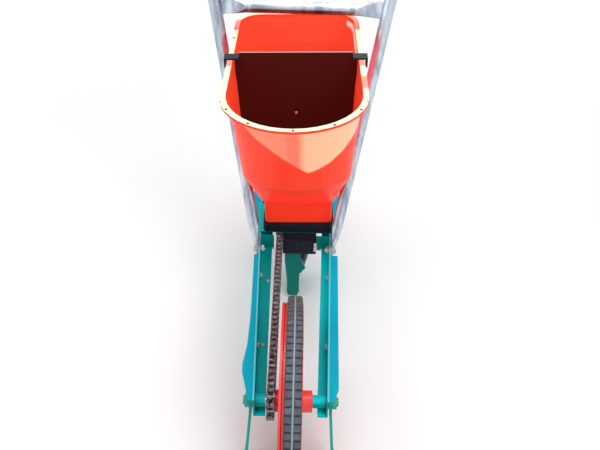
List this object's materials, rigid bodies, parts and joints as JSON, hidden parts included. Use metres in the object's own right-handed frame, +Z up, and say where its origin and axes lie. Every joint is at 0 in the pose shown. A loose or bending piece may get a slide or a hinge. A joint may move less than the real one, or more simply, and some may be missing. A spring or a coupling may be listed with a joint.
{
  "type": "seed drill",
  "caption": "Hand-pushed single-row seed drill: level frame, chain-driven metering unit, tall open hopper with lift-out divider, furrow opener, press wheel, push handles and stand legs",
  "frame": {"origin": "on the ground under the middle of the machine's overall length and width", "axes": "X across the machine, Y to the rear towards the handle grips, Z up"},
  "size_m": [0.447, 0.9848, 0.9572],
  "materials": {
    "frame_paint": "satin teal paint on folded steel, worn at the edges",
    "zinc_steel": "zinc-plated fasteners and axles",
    "hopper_plastic": "glossy orange-red moulded plastic",
    "divider_plastic": "very dark maroon plastic sheet",
    "black_plastic": "black moulded plastic",
    "chain_steel": "oiled dark steel",
    "grey_plastic": "dark grey plastic",
    "galvanised": "bright galvanised tube",
    "grip_rubber": "black rubber",
    "tyre_rubber": "dusty grey rubber",
    "wheel_paint": "red paint"
  },
  "bodies": {
    "frame": {"rail_left": "frame_paint", "rail_right": "frame_paint", "cross_plate": "frame_paint", "deck_plate": "frame_paint", "front_axle": "zinc_steel", "hopper": "hopper_plastic", "meter_base": "black_plastic", "meter_housing": "black_plastic", "chain": "chain_steel", "opener_shank": "frame_paint", "opener_shoe": "frame_paint", "seed_tube": "grey_plastic", "handle_left": "galvanised", "handle_right": "galvanised", "handle_bolts": "zinc_steel", "crossbar": "galvanised", "grip_left": "grip_rubber", "grip_right": "grip_rubber", "rear_fork": "frame_paint", "rear_axle": "zinc_steel"},
    "front_wheel": {"front_tyre": "tyre_rubber", "front_disc": "wheel_paint", "front_hub": "wheel_paint", "front_sprocket": "chain_steel"},
    "meter_drive": {"meter_shaft": "chain_steel", "meter_sprocket": "chain_steel"},
    "press_wheel": {"press_tyre": "tyre_rubber", "press_disc": "wheel_paint"},
    "partition": {"divider": "divider_plastic", "divider_hooks": "black_plastic"},
    "leg_left": {"stand_left": "frame_paint"},
    "leg_right": {"stand_right": "frame_paint"}
  },
  "joints": [
    {"name": "front_wheel_spin", "type": "hinge", "parent": "frame", "child": "front_wheel", "pos_m": [0.003, -0.31235, 0.18], "axis": [1, 0, 0], "continuous": true},
    {"name": "meter_spin", "type": "hinge", "parent": "frame", "child": "meter_drive", "pos_m": [0, 0.13065, 0.172], "axis": [1, 0, 0], "continuous": true},
    {"name": "press_wheel_spin", "type": "hinge", "parent": "frame", "child": "press_wheel", "pos_m": [0, 0.35063, 0.105], "axis": [1, 0, 0], "continuous": true},
    {"name": "partition_lift", "type": "slide", "parent": "frame", "child": "partition", "axis": [-0.0349, 0, 0.9994], "range_m": [0, 0.25]},
    {"name": "leg_left_swing", "type": "hinge", "parent": "frame", "child": "leg_left", "pos_m": [-0.0685, -0.31235, 0.18], "axis": [1, 0, 0], "range_deg": [-95, 0]},
    {"name": "leg_right_swing", "type": "hinge", "parent": "frame", "child": "leg_right", "pos_m": [0.0685, -0.31235, 0.18], "axis": [1, 0, 0], "range_deg": [-95, 0]}
  ],
  "couplings": [
    {"joint": "meter_spin", "follows": "front_wheel_spin", "ratio": 1.4}
  ]
}
